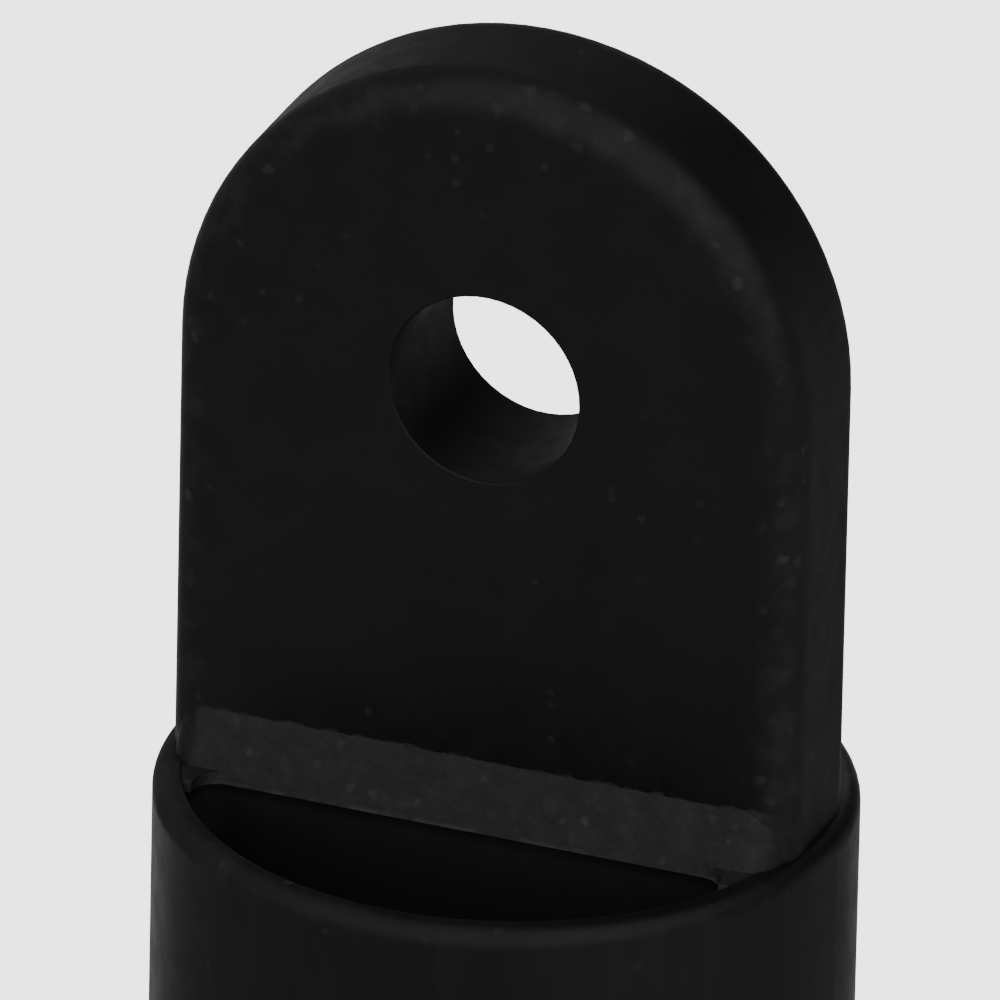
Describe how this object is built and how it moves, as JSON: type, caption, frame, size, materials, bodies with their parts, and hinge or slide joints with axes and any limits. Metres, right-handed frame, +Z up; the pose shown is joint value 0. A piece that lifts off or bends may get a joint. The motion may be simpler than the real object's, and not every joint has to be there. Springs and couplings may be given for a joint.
{
  "type": "tube eye end fitting",
  "caption": "Flat round-topped eye tongue on a moulded plug, riveted into the open end of a thin round tube; the eye takes a bolt or clevis pin.",
  "frame": {"origin": "centre of the tube's square-cut lower end, on the tube's axis", "axes": "+Z up along the tube towards the eye; Y along the eye's bore, across the tongue's broad faces; X across the tongue's width, through both rivets"},
  "size_m": [0.0244, 0.0222, 0.09],
  "materials": {
    "tube_coating": "satin black powder coat on tube",
    "moulded_nylon": "fine-grained black moulded nylon",
    "rivet_aluminium": "black-coated aluminium rivet head",
    "stem_steel": "broken-off bright steel stem"
  },
  "bodies": {
    "root": {"frame_tube": "tube_coating", "eye_plug": "moulded_nylon", "rivet_right": "rivet_aluminium", "rivet_left": "rivet_aluminium", "rivet_right_stem": "stem_steel", "rivet_left_stem": "stem_steel"}
  },
  "joints": []
}
